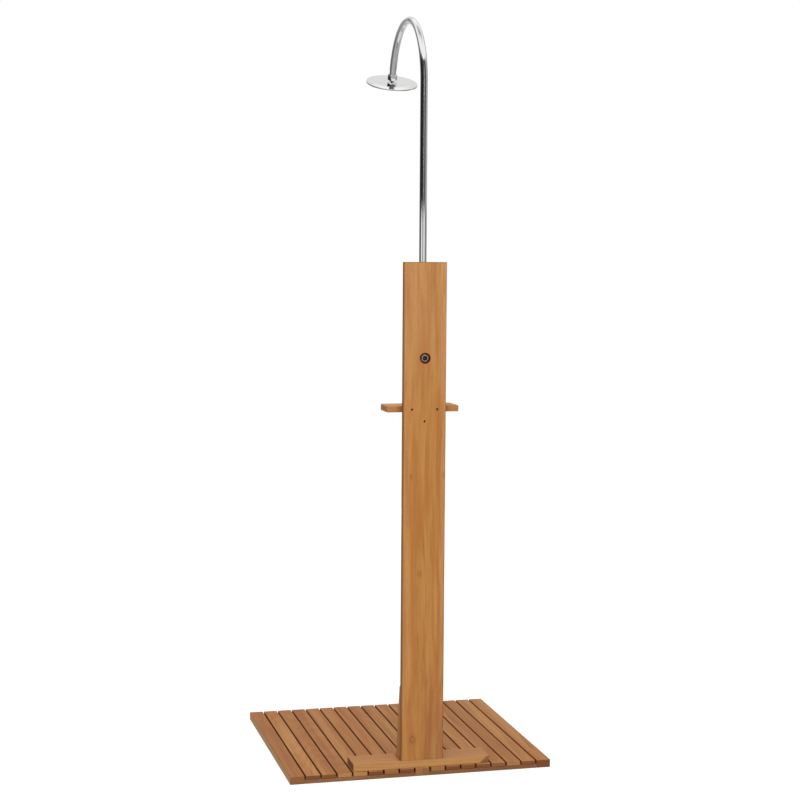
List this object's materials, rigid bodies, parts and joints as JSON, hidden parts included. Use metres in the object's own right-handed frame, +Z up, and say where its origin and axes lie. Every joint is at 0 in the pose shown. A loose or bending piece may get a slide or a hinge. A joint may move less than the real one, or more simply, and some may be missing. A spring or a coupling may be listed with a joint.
{
  "type": "outdoor shower",
  "caption": "Free-standing garden shower: slatted wooden deck, upright plank with shelf and lever valve, and a swan-neck pipe carrying a tilting round rose.",
  "frame": {"origin": "middle of the deck's footprint, on the ground", "axes": "+X across the deck, +Y from the plank towards the bather, +Z up; the hose inlet faces -Y"},
  "size_m": [0.8, 0.73, 2.2529],
  "materials": {
    "deck_wood": "oiled, planed",
    "rail_wood": "oiled, planed",
    "foot_wood": "oiled, planed",
    "post_wood": "oiled, planed",
    "steel_screw": "satin",
    "chrome": "polished",
    "rose_chrome": "polished",
    "spigot_steel": "turned",
    "brass": "turned",
    "seal_rubber": "matte",
    "seat_plastic": "matte",
    "face_plastic": "satin",
    "cap_plastic": "gloss"
  },
  "bodies": {
    "frame": {"deck_slat_01": "deck_wood", "deck_slat_02": "deck_wood", "deck_slat_03": "deck_wood", "deck_slat_04": "deck_wood", "deck_slat_05": "deck_wood", "deck_slat_06": "deck_wood", "deck_slat_07": "deck_wood", "deck_slat_08": "deck_wood", "deck_slat_09": "deck_wood", "deck_slat_10": "deck_wood", "deck_slat_11": "deck_wood", "deck_slat_12": "deck_wood", "deck_slat_13": "deck_wood", "deck_slat_14": "deck_wood", "deck_side_rail_left": "deck_wood", "deck_side_rail_right": "deck_wood", "deck_inner_rail_left": "deck_wood", "deck_inner_rail_right": "deck_wood", "deck_cross_rail_left_near": "rail_wood", "deck_cross_rail_left_middle": "rail_wood", "deck_cross_rail_left_far": "rail_wood", "deck_cross_rail_right_near": "rail_wood", "deck_cross_rail_right_middle": "rail_wood", "deck_cross_rail_right_far": "rail_wood", "deck_slat_screws": "steel_screw", "panel_bolts": "steel_screw", "panel_nuts": "steel_screw", "foot_board": "foot_wood", "foot_board_screws": "steel_screw", "post_plank": "post_wood", "post_foot_screws": "steel_screw", "knee_brace_left": "post_wood", "knee_brace_right": "post_wood", "knee_brace_screws": "steel_screw", "shelf": "post_wood", "shelf_bracket": "post_wood", "post_back_screws": "steel_screw", "fitting_screws": "steel_screw", "valve_plate": "chrome", "valve_body": "chrome", "inlet_spigot": "spigot_steel", "inlet_washer": "seal_rubber", "valve_cartridge": "brass", "shower_arm": "chrome", "union_nut": "chrome", "union_seal": "seal_rubber", "pipe_clip": "chrome", "arm_tip": "chrome", "ball_nut": "chrome"},
    "lever": {"valve_spindle": "brass", "valve_handle": "chrome", "handle_screw": "steel_screw", "handle_cap": "cap_plastic"},
    "swivel": {"ball_seat_ring": "seat_plastic"},
    "rose": {"rose_ball": "chrome", "rose_body": "rose_chrome", "rose_face": "face_plastic", "rose_seal": "seal_rubber", "rose_screws": "steel_screw"}
  },
  "joints": [
    {"name": "lever_turn", "type": "hinge", "parent": "frame", "child": "lever", "pos_m": [0, -0.339, 1.245], "axis": [0, 1, 0], "range_deg": [0, 90]},
    {"name": "rose_swivel", "type": "hinge", "parent": "frame", "child": "swivel", "pos_m": [0, 0.06065, 2.08829], "axis": [0, 0.3584, -0.9336], "continuous": true},
    {"name": "rose_tilt", "type": "hinge", "parent": "swivel", "child": "rose", "pos_m": [0, 0.06065, 2.08829], "axis": [1, 0, 0], "range_deg": [-15, 15]}
  ]
}
